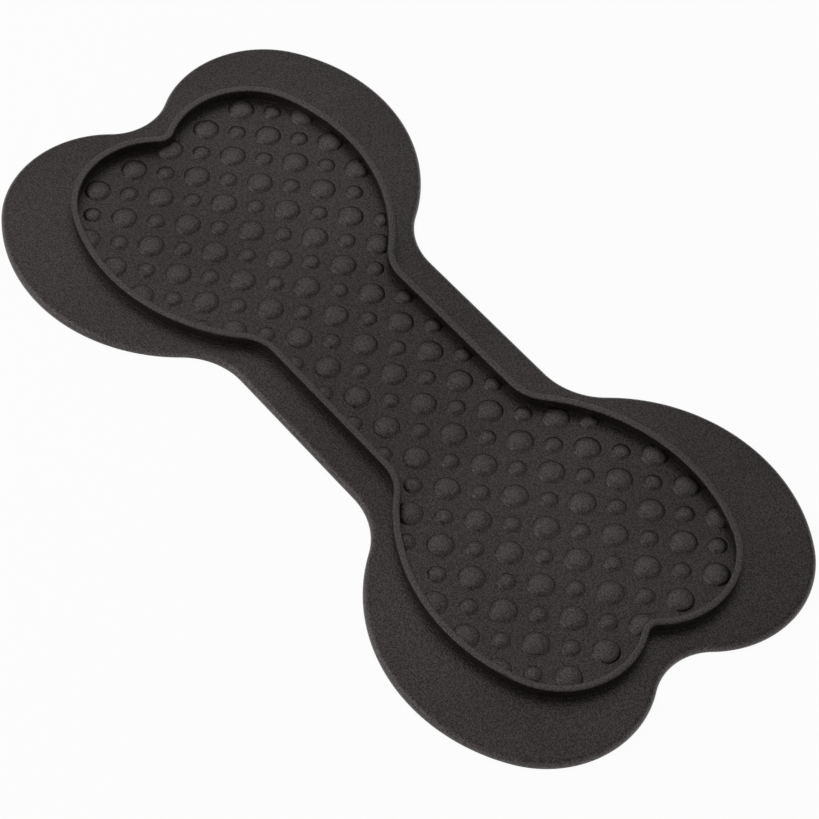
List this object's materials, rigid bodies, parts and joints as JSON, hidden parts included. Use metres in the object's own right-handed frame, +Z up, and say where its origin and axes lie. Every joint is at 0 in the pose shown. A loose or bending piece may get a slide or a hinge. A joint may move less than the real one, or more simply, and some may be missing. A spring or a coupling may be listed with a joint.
{
  "type": "lick mat",
  "caption": "Bone-shaped rubber lick mat for a pet: a flat sheet with a low raised rim around a field of large and small round bumps that hold soft food",
  "frame": {"origin": "centre of the mat's underside, on the surface it lies on", "axes": "+Z up, X along the bone's long axis from end to end, Y across it"},
  "size_m": [0.253, 0.1254, 0.006],
  "materials": {
    "rubber": "matte moulded rubber with a fine grain"
  },
  "bodies": {
    "root": {"border": "rubber", "rim": "rubber", "lick_floor": "rubber", "large_bumps": "rubber", "small_bumps": "rubber"}
  },
  "joints": []
}
